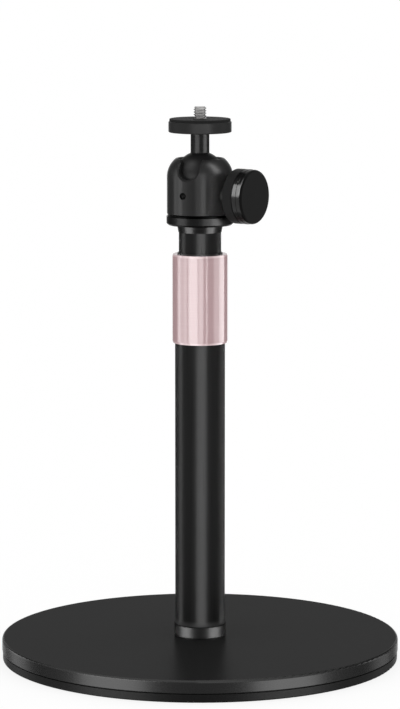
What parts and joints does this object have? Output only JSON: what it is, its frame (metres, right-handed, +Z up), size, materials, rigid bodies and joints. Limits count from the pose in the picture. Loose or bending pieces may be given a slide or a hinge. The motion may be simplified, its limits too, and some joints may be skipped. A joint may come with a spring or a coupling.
{
  "type": "projector stand",
  "caption": "Desktop projector stand: heavy round base, twist-lock telescopic pole and a ball head with a clamp knob, topped by a round platform with a threaded stud.",
  "frame": {"origin": "centre of the base on the floor", "axes": "+Z up along the pole, -Y towards the front, +X to the viewer's right; the clamp knob points to the right front and the tilt notch to the left front"},
  "size_m": [0.2, 0.2, 0.2783],
  "materials": {
    "base_coat": "matte",
    "base_rubber": "matte",
    "screw_steel": "satin",
    "screw_dark": "satin",
    "inner_plastic": "satin",
    "dark_chrome": "polished",
    "pole_black": "satin",
    "collar_rose": "satin",
    "head_black": "satin",
    "ball_black": "satin",
    "pad_rubber": "matte",
    "knob_black": "satin"
  },
  "bodies": {
    "stand": {"base_plate": "base_coat", "base_pad": "base_rubber", "base_screw": "screw_steel", "base_washer": "screw_steel", "foot_plug": "inner_plastic", "foot_ring": "dark_chrome", "lower_tube": "pole_black", "clamp_collet": "inner_plastic"},
    "collar": {"lock_collar": "collar_rose"},
    "mast": {"upper_tube": "pole_black", "guide_plug": "inner_plastic", "tube_cap": "dark_chrome", "pan_base": "head_black"},
    "head": {"ball_housing": "head_black", "ball_seat": "inner_plastic", "set_screw": "screw_dark", "clamp_shoe": "inner_plastic"},
    "ball": {"ball_stem": "ball_black"},
    "platform": {"top_plate": "head_black", "plate_pad": "pad_rubber", "mount_stud": "screw_steel"},
    "knob": {"clamp_screw": "screw_steel", "knob_grip": "knob_black", "knob_cap": "knob_black"}
  },
  "joints": [
    {"name": "collar_turn", "type": "hinge", "parent": "stand", "child": "collar", "pos_m": [0, 0, 0.18265], "axis": [0, 0, 1], "range_deg": [0, 120]},
    {"name": "mast_slide", "type": "slide", "parent": "stand", "child": "mast", "axis": [0, 0, 1], "range_m": [-0.01, 0.105]},
    {"name": "head_pan", "type": "hinge", "parent": "mast", "child": "head", "pos_m": [0, 0, 0.2252], "axis": [0, 0, 1], "continuous": true},
    {"name": "ball_tilt", "type": "hinge", "parent": "head", "child": "ball", "pos_m": [0, 0, 0.2437], "axis": [0.9171, -0.3987, 0], "range_deg": [-28, 70]},
    {"name": "platform_turn", "type": "hinge", "parent": "ball", "child": "platform", "pos_m": [0, 0, 0.26555], "axis": [0, 0, 1], "continuous": true},
    {"name": "knob_turn", "type": "hinge", "parent": "head", "child": "knob", "pos_m": [0, 0, 0.2349], "axis": [0.8339, -0.5519, 0], "range_deg": [0, 270]}
  ]
}
